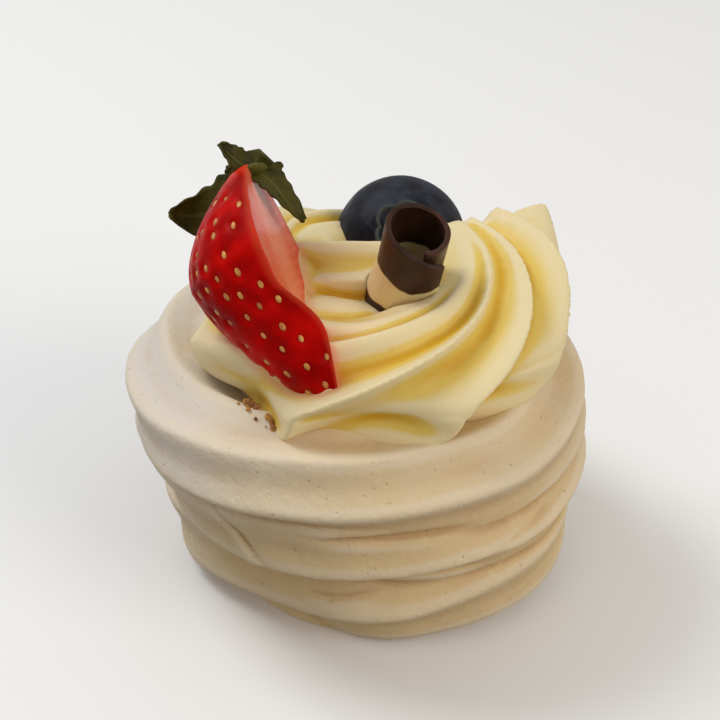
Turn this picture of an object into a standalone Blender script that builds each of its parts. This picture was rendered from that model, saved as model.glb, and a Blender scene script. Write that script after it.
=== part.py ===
"""A small piped pavlova: a three-tier meringue nest, a piped rosette of vanilla cream,
half a strawberry with its leaves, one blueberry and one rolled chocolate curl.

Metres, +Z up. The nest stands on the ground at z = 0 and its middle is near x = y = 0.
"""
import math

import bmesh
import bpy
from mathutils import Matrix, Vector

MM = 0.001
UP = Vector((0, 0, 1))
GAP = 0.35 * MM                    # room between pieces that touch

# ---- driving dimensions -------------------------------------------------------------
NEST_RADIUS = 33.5 * MM            # widest point of the nest, on its top tier
NEST_HEIGHT = 36.2 * MM            # ground to the crest of the nest's rim
NEST_LOBES = 6                     # teeth of the nozzle that piped the nest
NEST_GROOVE = 0.15                 # groove depth as a share of the rope's size
CREAM_RADIUS = 27.5 * MM           # outside of the cream rosette
CREAM_WIDTH = 11.5 * MM            # half the width of the cream rope
CREAM_HEIGHT = 9.0 * MM            # half the height of the cream rope
CREAM_LEVEL = 41.0 * MM            # height of the middle of the cream rope
CREAM_LOBES = 9
CREAM_GROOVE = 0.27
HEART_SIZE = 8.0 * MM              # half the width of the cream rope's first, inner turn
HEART_LOBES = 6
HEART_TURN = 30.0                  # turn of its lobes at the start, degrees
BERRY_RADIUS = 9.4 * MM
STRAWBERRY_LENGTH = 33.6 * MM
STRAWBERRY_RADIUS = 11.8 * MM      # half the width of the cut face
STRAWBERRY_BULGE = 1.1             # the half is this much deeper than its half width
STRAWBERRY_WIDEST = 20.6 * MM      # distance of its widest place from the tip
CURL_RADIUS = 4.7 * MM             # outside of the curl
CURL_SHEET = 0.9 * MM              # thickness of the rolled chocolate
CURL_LENGTH = 17.0 * MM
CURL_OVERLAP = 40.0                # how far the sheet's two ends overlap, degrees

FRONT = 274.0                      # the front of the nest, degrees

# Each tier of the nest, bottom first: height of the rope's middle, half height, half width,
# how far its outside stands in from the widest point, how far it sits off centre, its tilt,
# the direction of a crest at the front and how often the lobes turn on one way round.
NEST_TIERS = (
    dict(level=9.2, half_height=9.2, half_width=8.2, inset=4.6, shift=2.3, tilt=1.2, crest=34, twist=0.5),
    dict(level=19.0, half_height=7.7, half_width=8.4, inset=2.4, shift=1.2, tilt=1.2, crest=12, twist=0.5),
    dict(level=28.6, half_height=7.6, half_width=8.2, inset=0.0, shift=-1.0, tilt=-0.6, crest=15, twist=2 / 3),
)
# Places where a tier is pressed in or bulges out: tier, direction, width, how far
NEST_DENTS = (
    dict(tier=0, towards=228, width=34, depth=4.0),
    dict(tier=1, towards=228, width=34, depth=1.0),
    dict(tier=0, towards=308, width=28, depth=-2.0),
)

# Control points of the curve that the inner turn follows, from left to right
HEART_PATH = (
    Vector((-14, 2.5, 42)) * MM,
    Vector((-2, 0, 42.8)) * MM,
    Vector((14, -5, 42)) * MM,
    Vector((13.5, 11, 39.5)) * MM,
)
ROPE_START = 40.0                  # the cream rope is piped from here, degrees
ROPE_END = 396.0                   # round the front to here, where it lifts and stops
ROPE_SLOW = 310.0                  # from here its lobes twist only half as fast

# Strawberry: its tip, the direction of its axis and the way the whole side faces
STRAWBERRY_TIP = Vector((-3.5, -23.8, 41.1)) * MM
STRAWBERRY_AXIS = Vector((-0.387, 0.660, 0.645)).normalized()
STRAWBERRY_SKIN = Vector((-0.892, -0.088, -0.444))
BERRY_CENTRE = Vector((3.8, 13.3, 45.0)) * MM
BERRY_CROWN = Vector((0.0, -0.766, 0.643))
CURL_FOOT = Vector((4.6, -2.4, 42.6)) * MM
CURL_TOP = Vector((6.3, -9.0, 58.0)) * MM


def clear_scene():
    for ob in list(bpy.data.objects):
        bpy.data.objects.remove(ob)


def new_collection(name):
    group = bpy.data.collections.new(name)
    bpy.context.scene.collection.children.link(group)
    return group


def add_object(name, mesh, group, material=None):
    ob = bpy.data.objects.new(name, mesh)
    group.objects.link(ob)
    if material:
        mesh.materials.append(material)
    return ob


def principled(name, colour, roughness):
    material = bpy.data.materials.new(name)
    material.use_nodes = True
    shader = material.node_tree.nodes["Principled BSDF"]
    shader.inputs["Base Color"].default_value = (*colour, 1.0)
    shader.inputs["Roughness"].default_value = roughness
    shader.inputs["Metallic"].default_value = 0.0
    return material


def mesh_from(name, bm):
    mesh = bpy.data.meshes.new(name)
    bmesh.ops.recalc_face_normals(bm, faces=bm.faces)
    bm.to_mesh(mesh)
    bm.free()
    return mesh


def finished_mesh(ob):
    """The object's mesh with its modifiers and its place applied."""
    graph = bpy.context.evaluated_depsgraph_get()
    mesh = bpy.data.meshes.new_from_object(ob.evaluated_get(graph))
    mesh.transform(ob.matrix_world)
    return mesh


def star(turn, lobes, groove):
    """Size of a star section at an angle from one of its crests: sharp crests, broad valleys."""
    valley = abs(math.sin(lobes * turn / 2))
    rounding = 0.14
    return 1 - groove * (math.hypot(valley, rounding) - rounding)


def bump(angle, middle, width):
    """1 at the middle direction, falling to 0 past the width; angles in degrees."""
    away = (angle - middle + 180) % 360 - 180
    return math.exp(-(away / width) ** 2)


def loft_rope(bm, stations, sides, place, section):
    """A rope along a path. place(share) gives its middle, the level direction to its outer side
    and its half width and half height; section(share, around) gives the size of the section."""
    rings = []
    for i in range(stations + 1):
        share = i / stations
        middle, side, wide, high = place(share)
        ring = []
        for j in range(sides):
            around = math.tau * j / sides
            size = section(share, around)
            offset = side * (wide * size * math.cos(around)) + UP * (high * size * math.sin(around))
            ring.append(bm.verts.new(middle + offset))
        rings.append(ring)
    for first, second in zip(rings, rings[1:]):
        for j in range(sides):
            k = (j + 1) % sides
            bm.faces.new((first[j], first[k], second[k], second[j]))
    bm.faces.new(rings[0])
    bm.faces.new(rings[-1])


def outward(angle):
    return Vector((math.cos(math.radians(angle)), math.sin(math.radians(angle)), 0))


def add_drum(bm, radius, bottom, top, middle):
    """A plain drum that fills the inside of the ropes."""
    place = Matrix.Translation(middle + Vector((0, 0, (bottom + top) / 2)))
    bmesh.ops.create_cone(bm, cap_ends=True, segments=48, radius1=radius, radius2=radius,
                          depth=top - bottom, matrix=place)


def fuse(ob, voxel, faces):
    """Join what the mesh holds into one skin, smooth it and thin it to about `faces` triangles."""
    remesh = ob.modifiers.new("one skin", "REMESH")
    remesh.mode = "VOXEL"
    remesh.voxel_size = voxel
    smooth = ob.modifiers.new("soften", "SMOOTH")
    smooth.iterations = 1
    triangles = 2 * len(finished_mesh(ob).polygons)
    thin = ob.modifiers.new("thin", "DECIMATE")
    thin.ratio = faces / triangles
    thin.use_collapse_triangulate = True


def cutter_box(name, size, place, group):
    bm = bmesh.new()
    bmesh.ops.create_cube(bm, size=1, matrix=place @ Matrix.Diagonal((*size, 1)))
    return mark_cutter(add_object(name, mesh_from(name, bm), group))


def mark_cutter(ob):
    ob.hide_render = True
    ob.display_type = "WIRE"
    return ob


def nest_room(nest, group):
    """A slightly larger copy of the finished nest, that cuts the underside of the cream."""
    room = add_object("meringue_room", finished_mesh(nest), group)
    grow = room.modifiers.new("grow", "DISPLACE")
    grow.strength = 1.5 * GAP
    grow.mid_level = 0
    fuse(room, 0.9 * MM, 2200)
    return mark_cutter(room)


def cut(ob, cutter):
    boolean = ob.modifiers.new("cut " + cutter.name, "BOOLEAN")
    boolean.operation = "DIFFERENCE"
    boolean.solver = "EXACT"
    boolean.object = cutter


def make_meringue(parts, cutters):
    bm = bmesh.new()
    for number, tier in enumerate(NEST_TIERS):
        def place(share):
            angle = 360 * share
            wide = tier["half_width"] * MM
            radius = NEST_RADIUS - tier["inset"] * MM - wide
            for dent in NEST_DENTS:
                if dent["tier"] == number:
                    radius -= dent["depth"] * MM * bump(angle, dent["towards"], dent["width"])
            level = tier["level"] + tier["tilt"] * math.cos(math.radians(angle - 20))
            middle = Vector((tier["shift"] * MM, 0, level * MM)) + outward(angle) * radius
            return middle, outward(angle), wide, tier["half_height"] * MM

        def section(share, around):
            crest = math.radians(tier["crest"] + tier["twist"] * (360 * share - FRONT))
            return star(around - crest, NEST_LOBES, NEST_GROOVE)

        loft_rope(bm, 120, 48, place, section)
    add_drum(bm, NEST_RADIUS * 0.62, -1 * MM, NEST_HEIGHT - 3.2 * MM, Vector((1.5 * MM, 0, 0)))
    material = principled("meringue", (0.72, 0.61, 0.45), 0.75)
    nest = add_object("meringue", mesh_from("meringue", bm), parts, material)
    fuse(nest, 1.0 * MM, 2700)
    ground = Matrix.Translation((0, 0, -10 * MM))
    cut(nest, cutter_box("ground", (0.12, 0.12, 0.02), ground, cutters))
    return nest


def ring_place(share):
    """The outer turn of the cream, which swells from its start and lifts at its end."""
    angle = ROPE_START + (ROPE_END - ROPE_START) * share
    lift = max(0, (angle - 300) / 100) ** 1.5
    swell = min(1, 0.55 + 0.45 * (angle - ROPE_START) / 90)
    wide = CREAM_WIDTH * swell
    sag = 1.2 * MM * bump(angle, 85, 50) + 2.2 * MM * bump(angle, 236, 34)
    level = CREAM_LEVEL - sag + 5.0 * MM * lift
    middle = outward(angle) * (CREAM_RADIUS - CREAM_WIDTH + 1 * MM * lift)
    return middle + Vector((0, -1 * MM, level)), outward(angle), wide, CREAM_HEIGHT * swell


def ring_section(share, around):
    """The lobes bunch towards the inner side, and the outer one flares where the rope ends."""
    angle = ROPE_START + (ROPE_END - ROPE_START) * share
    crest = -15 + min(angle, ROPE_SLOW) - 249 + 0.5 * max(0, angle - ROPE_SLOW)
    even = around
    for _ in range(6):
        even = around - math.radians(24) * math.sin(even + math.radians(60))
    size = star(even - math.radians(crest), CREAM_LOBES, CREAM_GROOVE)
    flare = 0.25 * max(0, (angle - 330) / 66) ** 2
    return size * (1 + flare * bump(math.degrees(around), 38, 30))


def heart_place(share):
    """The first turn of the cream, which crosses the middle before the ring begins."""
    rest = 1 - share
    weights = (rest ** 3, 3 * rest * rest * share, 3 * rest * share * share, share ** 3)
    slopes = (-rest * rest, rest * rest - 2 * rest * share, 2 * rest * share - share * share, share * share)
    middle = sum((point * weight for point, weight in zip(HEART_PATH, weights)), Vector())
    along = sum((point * slope for point, slope in zip(HEART_PATH, slopes)), Vector())
    side = along.cross(UP).normalized()
    size = (1 - 0.2 * abs(2 * share - 0.9)) * HEART_SIZE
    return middle, side, size, size


def heart_section(share, around):
    crest = math.radians(HEART_TURN + 40 * share)
    return star(around - crest, HEART_LOBES, CREAM_GROOVE)


def make_cream(parts):
    bm = bmesh.new()
    loft_rope(bm, 130, 72, ring_place, ring_section)
    loft_rope(bm, 40, 60, heart_place, heart_section)
    add_drum(bm, 16 * MM, 34 * MM, 43 * MM, Vector((0, -1 * MM, 0)))
    material = principled("cream", (0.80, 0.66, 0.36), 0.45)
    cream = add_object("cream", mesh_from("cream", bm), parts, material)
    fuse(cream, 0.9 * MM, 2500)
    return cream


def strawberry_radius(along):
    """Radius of the strawberry at a distance from its tip."""
    if along < STRAWBERRY_WIDEST:
        return STRAWBERRY_RADIUS * (1 - (1 - along / STRAWBERRY_WIDEST) ** 1.15) ** 0.68
    past = (along - STRAWBERRY_WIDEST) / (STRAWBERRY_LENGTH - STRAWBERRY_WIDEST)
    return STRAWBERRY_RADIUS * math.cos(1.41 * past)


def turned(name, profile, parts, steps, material):
    """A body turned round its own Z axis from a profile that runs down its outer side."""
    bm = bmesh.new()
    verts = [bm.verts.new((radius, 0, height)) for radius, height in profile]
    for first, second in zip(verts, verts[1:]):
        bm.edges.new((first, second))
    mesh = bpy.data.meshes.new(name)
    bm.to_mesh(mesh)
    bm.free()
    ob = add_object(name, mesh, parts, material)
    screw = ob.modifiers.new("turn", "SCREW")
    screw.steps = steps
    screw.render_steps = steps
    screw.use_merge_vertices = True
    screw.merge_threshold = 0.01 * MM
    screw.use_normal_calculate = True
    return ob


def facing(up, side):
    """A turn that takes +Z to `up` and +X as near to `side` as it can."""
    z = up.normalized()
    x = (side - z * side.dot(z)).normalized()
    return Matrix((x, z.cross(x), z)).transposed().to_4x4()


def half_strawberry(name, group, cutters, extra, material=None):
    """Half a strawberry, cut along its axis; `extra` makes it larger all round."""
    rings = 18
    profile = [(0, STRAWBERRY_LENGTH + extra)]
    for i in range(rings, 0, -1):
        along = STRAWBERRY_LENGTH * (i / rings) ** 1.3
        profile.append((strawberry_radius(along) + extra, along))
    profile.append((0, -2 * extra))
    berry = turned(name, profile, group, 30, material)
    place = Matrix.Translation(STRAWBERRY_TIP) @ facing(STRAWBERRY_AXIS, STRAWBERRY_SKIN)
    berry.matrix_world = place @ Matrix.Diagonal((STRAWBERRY_BULGE, 1, 1, 1))
    half = place @ Matrix.Translation((-0.02 - extra, 0, STRAWBERRY_LENGTH / 2))
    cut(berry, cutter_box(name + "_half", (0.04, 0.06, 0.06), half, cutters))
    return berry


def make_strawberry(parts, cutters):
    material = principled("strawberry", (0.42, 0.012, 0.008), 0.3)
    half_strawberry("strawberry", parts, cutters, 0, material)
    return mark_cutter(half_strawberry("strawberry_room", cutters, cutters, GAP))


def make_leaves(parts, room):
    """Four sepals on a small button, bent over the top of the strawberry."""
    sepals = (                      # turn round the axis, length, width, droop, rise, roll
        dict(turn=-20, length=6.5, width=4.2, droop=0.2, rise=1.20, roll=0),
        dict(turn=-105, length=13.0, width=4.4, droop=1.4, rise=0.20, roll=0),
        dict(turn=-30, length=13.0, width=5.6, droop=0.6, rise=0.12, roll=55),
        dict(turn=20, length=4.0, width=2.6, droop=0.9, rise=0.10, roll=0),
    )
    bm = bmesh.new()
    for sepal in sepals:
        rows, bend = 10, sepal["droop"] / 10
        point, pitch = Vector((0.5, 0, 0.2)), sepal["rise"]
        spin = Matrix.Rotation(math.radians(sepal["turn"]), 4, "Z")
        lines = []
        for i in range(rows + 1):
            share = i / rows
            half = sepal["width"] / 2 * math.sin(math.pi * min(0.86, 0.16 + 0.78 * share)) ** 0.7
            along = Vector((math.cos(pitch), 0, math.sin(pitch)))
            roll = Matrix.Rotation(math.radians(sepal["roll"] * min(1, 2 * share)), 3, along)
            lift = roll @ Vector((-math.sin(pitch), 0, math.cos(pitch)))
            across = roll @ Vector((0, half, 0))
            line = []
            for side, top in ((-1, -1), (0, -1), (1, -1), (1, 1), (0, 1), (-1, 1)):
                cup = 0.5 * abs(side)
                spot = point + lift * (0.35 * top + cup) + across * side
                line.append(bm.verts.new((spin @ spot) * MM))
            lines.append(line)
            point = point + along * sepal["length"] / rows
            pitch -= bend
        for first, second in zip(lines, lines[1:]):
            for j in range(6):
                k = (j + 1) % 6
                bm.faces.new((first[j], first[k], second[k], second[j]))
        bm.faces.new(lines[0])
        bm.faces.new(lines[-1])
    add_drum(bm, 2.6 * MM, 0 * MM, 1.1 * MM, Vector((0, 0, 0)))
    material = principled("leaf", (0.035, 0.034, 0.006), 0.6)
    leaves = add_object("strawberry_leaves", mesh_from("strawberry_leaves", bm), parts, material)
    leaves.matrix_world = (Matrix.Translation(STRAWBERRY_TIP) @ facing(STRAWBERRY_AXIS, STRAWBERRY_SKIN)
                           @ Matrix.Translation((1.5 * MM, 0, STRAWBERRY_LENGTH + GAP)))
    fuse(leaves, 0.35 * MM, 1200)
    cut(leaves, room)
    return leaves


def make_blueberry(parts, cutters):
    crown_radius = 3.3 * MM
    crown_depth = 1.3 * MM
    floor = BERRY_RADIUS * 0.9 - crown_depth
    crown = [(0, floor), (crown_radius * 0.75, floor), (crown_radius, BERRY_RADIUS * 0.97)]
    berries = []
    material = principled("blueberry", (0.035, 0.04, 0.06), 0.5)
    for name, group, extra, top in (("blueberry", parts, 0, crown), ("blueberry_room", cutters, GAP, [])):
        profile = list(top)
        first = 26 if top else 0
        rings = 12
        for i in range(rings + 1):
            polar = math.radians(first + (180 - first) * i / rings)
            across = (BERRY_RADIUS + extra) * math.sin(polar)
            profile.append((across, (BERRY_RADIUS * 0.94 + extra) * math.cos(polar)))
        profile[0] = (0, profile[0][1])
        profile[-1] = (0, profile[-1][1])
        berry = turned(name, profile, group, 26, material)
        berry.matrix_world = Matrix.Translation(BERRY_CENTRE) @ facing(BERRY_CROWN, Vector((1, 0, 0)))
        berries.append(berry)
    return mark_cutter(berries[1])


def make_curl(parts, cutters):
    """A rolled sheet whose first edge tucks inside the last one, cut off at a slant."""
    bm = bmesh.new()
    steps = 50
    turn = 360 + CURL_OVERLAP
    seam = -75.0
    outer_line = []
    inner_line = []
    for i in range(steps + 1):
        angle = turn * i / steps
        past = min(1, max(0, (angle - CURL_OVERLAP) / 80))
        tuck = (CURL_SHEET + GAP) * (1 - past * past * (3 - 2 * past))
        outer_line.append(outward(seam + angle) * (CURL_RADIUS - tuck))
        inner_line.append(outward(seam + angle) * (CURL_RADIUS - tuck - CURL_SHEET))
    outline = [bm.verts.new(point) for point in outer_line + inner_line[::-1]]
    edges = [bm.edges.new((outline[i - 1], outline[i])) for i in range(len(outline))]
    filled = bmesh.ops.triangle_fill(bm, edges=edges, use_beauty=False)
    faces = [item for item in filled["geom"] if isinstance(item, bmesh.types.BMFace)]
    raised = bmesh.ops.extrude_face_region(bm, geom=faces)
    top = [item for item in raised["geom"] if isinstance(item, bmesh.types.BMVert)]
    bmesh.ops.translate(bm, verts=top, vec=(0, 0, CURL_LENGTH + 2 * MM))
    material = principled("chocolate", (0.04, 0.014, 0.009), 0.4)
    curl = add_object("chocolate_curl", mesh_from("chocolate_curl", bm), parts, material)
    place = Matrix.Translation(CURL_FOOT) @ facing(CURL_TOP - CURL_FOOT, Vector((1, 0, 0)))
    curl.matrix_world = place
    slant = (place @ Matrix.Translation((0, 0, CURL_LENGTH)) @ Matrix.Rotation(math.radians(9), 4, "Y")
             @ Matrix.Translation((0, 0, 0.01)))
    cut(curl, cutter_box("curl_top", (0.04, 0.04, 0.02), slant, cutters))
    bm = bmesh.new()
    add_drum(bm, CURL_RADIUS + GAP, -GAP, CURL_LENGTH, Vector((0, 0, 0)))
    room = add_object("chocolate_curl_room", mesh_from("chocolate_curl_room", bm), cutters)
    room.matrix_world = place
    return mark_cutter(room)


def centre_on(piece, objects):
    """Move everything so that the piece's box is centred on the Z axis."""
    corners = [vert.co for vert in finished_mesh(piece).vertices]
    middle = [(min(c[axis] for c in corners) + max(c[axis] for c in corners)) / 2 for axis in (0, 1)]
    shift = Matrix.Translation((-middle[0], -middle[1], 0))
    for ob in objects:
        ob.matrix_world = shift @ ob.matrix_world


def main():
    clear_scene()
    parts = new_collection("pavlova")
    cutters = new_collection("cutters")
    nest = make_meringue(parts, cutters)
    cream = make_cream(parts)
    strawberry_room = make_strawberry(parts, cutters)
    blueberry_room = make_blueberry(parts, cutters)
    curl_room = make_curl(parts, cutters)
    make_leaves(parts, strawberry_room)
    bpy.context.view_layer.update()
    for room in (nest_room(nest, cutters), strawberry_room, blueberry_room, curl_room):
        cut(cream, room)
    centre_on(nest, list(parts.objects) + list(cutters.objects))


main()
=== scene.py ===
import math
import random

import bmesh
import bpy
import numpy as np
from mathutils import Matrix, Vector, noise
from mathutils.bvhtree import BVHTree


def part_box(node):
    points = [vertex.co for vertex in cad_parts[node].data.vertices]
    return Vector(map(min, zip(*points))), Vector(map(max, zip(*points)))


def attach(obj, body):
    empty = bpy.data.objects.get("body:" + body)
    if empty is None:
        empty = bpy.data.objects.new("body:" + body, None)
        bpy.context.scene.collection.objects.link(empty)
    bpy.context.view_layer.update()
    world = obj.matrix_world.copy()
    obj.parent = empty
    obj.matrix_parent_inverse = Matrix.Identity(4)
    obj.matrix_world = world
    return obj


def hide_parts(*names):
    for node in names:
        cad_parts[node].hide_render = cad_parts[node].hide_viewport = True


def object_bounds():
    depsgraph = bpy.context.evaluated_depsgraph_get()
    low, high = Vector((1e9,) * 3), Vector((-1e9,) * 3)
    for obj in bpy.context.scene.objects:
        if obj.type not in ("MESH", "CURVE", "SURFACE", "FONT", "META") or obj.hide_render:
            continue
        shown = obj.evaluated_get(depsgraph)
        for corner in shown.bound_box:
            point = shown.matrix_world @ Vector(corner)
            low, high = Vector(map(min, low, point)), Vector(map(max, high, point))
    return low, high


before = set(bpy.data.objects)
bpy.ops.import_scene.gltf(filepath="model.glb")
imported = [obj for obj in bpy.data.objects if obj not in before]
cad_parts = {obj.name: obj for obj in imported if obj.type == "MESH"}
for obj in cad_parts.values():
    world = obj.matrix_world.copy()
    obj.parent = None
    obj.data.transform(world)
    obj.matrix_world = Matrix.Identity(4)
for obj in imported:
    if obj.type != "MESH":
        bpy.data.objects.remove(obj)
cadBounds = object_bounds()

mm = 0.001
up = Vector((0, 0, 1))


# small helpers

def boxMiddle(node):
    low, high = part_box(node)
    return (low + high) / 2


def outward(angle):
    turn = math.radians(angle)
    return Vector((math.cos(turn), math.sin(turn), 0))


def bump(angle, middle, width):
    away = (angle - middle + 180) % 360 - 180
    return math.exp(-(away / width) ** 2)


def mix(low, high, share):
    return low + (high - low) * share


def smooth(low, high, value):
    share = min(1, max(0, (value - low) / (high - low)))
    return share * share * (3 - 2 * share)


def slowNoise(point, seed):
    return noise.noise(Vector(point) + Vector((seed, seed * 0.7, seed * 1.3)))


def curvePoint(path, share):
    # where a bent path of four control points is, and which way it runs there
    rest = 1 - share
    weights = (rest ** 3, 3 * rest * rest * share, 3 * rest * share * share, share ** 3)
    slopes = (-rest * rest, rest * rest - 2 * rest * share, 2 * rest * share - share * share, share * share)
    middle = sum((Vector(point) * weight for point, weight in zip(path, weights)), Vector())
    along = sum((Vector(point) * slope for point, slope in zip(path, slopes)), Vector())
    return middle, along.normalized()


def facing(axis, side):
    z = axis.normalized()
    x = (side - z * side.dot(z)).normalized()
    return Matrix((x, z.cross(x), z)).transposed().to_4x4()


def linear(red, green, blue):
    # a colour picked on the usual 0 to 255 scale, as the shader wants it
    parts = [value / 255 for value in (red, green, blue)]
    parts = [p / 12.92 if p <= 0.04045 else ((p + 0.055) / 1.055) ** 2.4 for p in parts]
    return (*parts, 1)


def outwardRing(count, radius, height):
    return [outward(360 * j / count) * radius + up * height for j in range(count)]


def addObject(name, mesh, material=None):
    ob = bpy.data.objects.new(name, mesh)
    bpy.context.scene.collection.objects.link(ob)
    if material:
        if len(mesh.materials):
            mesh.materials.clear()    # this also forgets which face has which material
        mesh.materials.append(material)
    return ob


def skinLines(bm, lines, closed=False):
    # faces between neighbouring lines of vertices; closed ones also join last to first
    for first, second in zip(lines, lines[1:]):
        count = len(first)
        for j in range(count if closed else count - 1):
            k = (j + 1) % count
            bm.faces.new((first[j], first[k], second[k], second[j]))


def meshFrom(name, bm, merge=0):
    if merge:
        bmesh.ops.remove_doubles(bm, verts=bm.verts, dist=merge)
    bmesh.ops.recalc_face_normals(bm, faces=bm.faces)
    mesh = bpy.data.meshes.new(name)
    bm.to_mesh(mesh)
    bm.free()
    return mesh


def settled(ob):
    # the object's mesh with its modifiers applied and its place baked in
    mesh = bpy.data.meshes.new_from_object(ob.evaluated_get(bpy.context.evaluated_depsgraph_get()))
    mesh.transform(ob.matrix_world)
    ob.modifiers.clear()
    ob.matrix_world = Matrix.Identity(4)
    ob.data = mesh
    mesh.shade_smooth()
    return ob


def oneSkin(ob, voxel, rounds):
    remesh = ob.modifiers.new("one skin", "REMESH")
    remesh.mode = "VOXEL"
    remesh.voxel_size = voxel
    soften = ob.modifiers.new("soften", "SMOOTH")
    soften.factor = 0.5
    soften.iterations = rounds
    return settled(ob)


def searchTree(ob):
    places = [vert.co for vert in ob.data.vertices]
    return BVHTree.FromPolygons(places, [face.vertices for face in ob.data.polygons])


def putAttribute(mesh, name, values):
    layer = mesh.attributes.get(name) or mesh.attributes.new(name, "FLOAT", "POINT")
    layer.data.foreach_set("value", np.asarray(values, np.float32))


def readArray(items, key, size, kind=float):
    values = np.empty(len(items) * size, kind)
    items.foreach_get(key, values)
    return values.reshape(-1, size)


def markHollows(ob, name, rounds, reach):
    # 0 deep in a groove, 0.5 on the flat, 1 on a crest: how far each point stands from its surroundings
    mesh = ob.data
    places, normals = readArray(mesh.vertices, "co", 3), readArray(mesh.vertices, "normal", 3)
    edges = readArray(mesh.edges, "vertices", 2, int)
    count = np.bincount(edges.ravel(), minlength=len(places))[:, None]
    around = places.copy()
    for _ in range(rounds):
        total = np.zeros_like(around)
        for axis in range(3):
            for end in (0, 1):
                total[:, axis] += np.bincount(edges[:, end], around[edges[:, 1 - end], axis], len(places))
        around = total / count
    stand = ((places - around) * normals).sum(1) / reach
    putAttribute(mesh, name, np.clip(0.5 + 0.5 * stand, 0, 1))


# node trees are written with this small calculator

def addNode(tree, kind, inputs=None, **settings):
    # a node with its settings; its inputs, by name or number, get values or other nodes' outputs
    node = tree.nodes.new(kind)
    for label, value in settings.items():
        setattr(node, label, value)
    for label, value in (inputs or {}).items():
        join(tree, value, node.inputs[label])
    return node


def join(tree, source, target):
    if isinstance(source, Calc):
        source = source.socket
    if isinstance(source, bpy.types.NodeSocket):
        tree.links.new(source, target)
    else:
        target.default_value = source


class Calc:
    def __init__(self, tree, socket):
        self.tree = tree
        self.socket = socket

    def make(self, operation, *others):
        node = addNode(self.tree, "ShaderNodeMath", dict(enumerate((self, *others))), operation=operation)
        return Calc(self.tree, node.outputs[0])

    def __add__(self, other):
        return self.make("ADD", other)

    def __sub__(self, other):
        return self.make("SUBTRACT", other)

    def __mul__(self, other):
        return self.make("MULTIPLY", other)

    def __truediv__(self, other):
        return self.make("DIVIDE", other)

    def cos(self):
        return self.make("COSINE")

    def sin(self):
        return self.make("SINE")

    def between(self, low, high, newLow=0, newHigh=1):
        node = addNode(self.tree, "ShaderNodeMapRange", {
            "Value": self, "From Min": low, "From Max": high, "To Min": newLow, "To Max": newHigh},
            interpolation_type="SMOOTHSTEP")
        return Calc(self.tree, node.outputs["Result"])


def newTree(name, inputs):
    # inputs by name with their usual values; a word stands for the kind of data block wanted
    tree = bpy.data.node_groups.new(name, "GeometryNodeTree")
    tree.interface.new_socket("Geometry", in_out="OUTPUT", socket_type="NodeSocketGeometry")
    kinds = {int: "Int", float: "Float", tuple: "Vector"}
    for label, value in inputs.items():
        kind = kinds.get(type(value), value)
        socket = tree.interface.new_socket(label, in_out="INPUT", socket_type="NodeSocket" + kind)
        if kind != value:
            socket.default_value = value
    return tree, tree.nodes.new("NodeGroupInput"), tree.nodes.new("NodeGroupOutput")


def finishTree(tree, given, result, geometry):
    real = addNode(tree, "GeometryNodeRealizeInstances", {0: geometry})
    paint = addNode(tree, "GeometryNodeSetMaterial", {
        "Geometry": real.outputs[0], "Material": given.outputs["Material"]})
    join(tree, paint.outputs[0], result.inputs[0])
    return tree


def namedAttribute(tree, name, kind="FLOAT_VECTOR"):
    return addNode(tree, "GeometryNodeInputNamedAttribute", {"Name": name}, data_type=kind).outputs[0]


def scatter(tree, given, subdivisions, rotation, scale):
    # one round lump on every point of the object given
    fetch = addNode(tree, "GeometryNodeObjectInfo", {"Object": given.outputs["Points"]})
    lump = addNode(tree, "GeometryNodeMeshIcoSphere", {"Radius": 1, "Subdivisions": subdivisions})
    return addNode(tree, "GeometryNodeInstanceOnPoints", {
        "Points": fetch.outputs["Geometry"], "Instance": lump.outputs["Mesh"],
        "Rotation": rotation, "Scale": scale}).outputs[0]


def scattered(name, places, attributes, tree, values):
    # a new object made by a tree from a copy on every one of these places
    points = bpy.data.meshes.new("points")
    points.from_pydata(places, [], [])
    for label, (kind, key, numbers) in attributes.items():
        layer = points.attributes.new(label, kind, "POINT")
        layer.data.foreach_set(key, np.ravel(numbers).astype(np.float32))
    guide = addObject("points", points)
    ob = addObject(name, bpy.data.meshes.new(name))
    runTree(ob, tree, {"Points": guide, **values})
    bpy.data.objects.remove(guide)
    return ob


def runTree(ob, tree, values):
    modifier = ob.modifiers.new(tree.name, "NODES")
    modifier.node_group = tree
    for item in tree.interface.items_tree:
        if item.in_out == "INPUT" and item.name in values:
            modifier[item.identifier] = values[item.name]
    return settled(ob)


# the nest: three star ropes piped one on another

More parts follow.
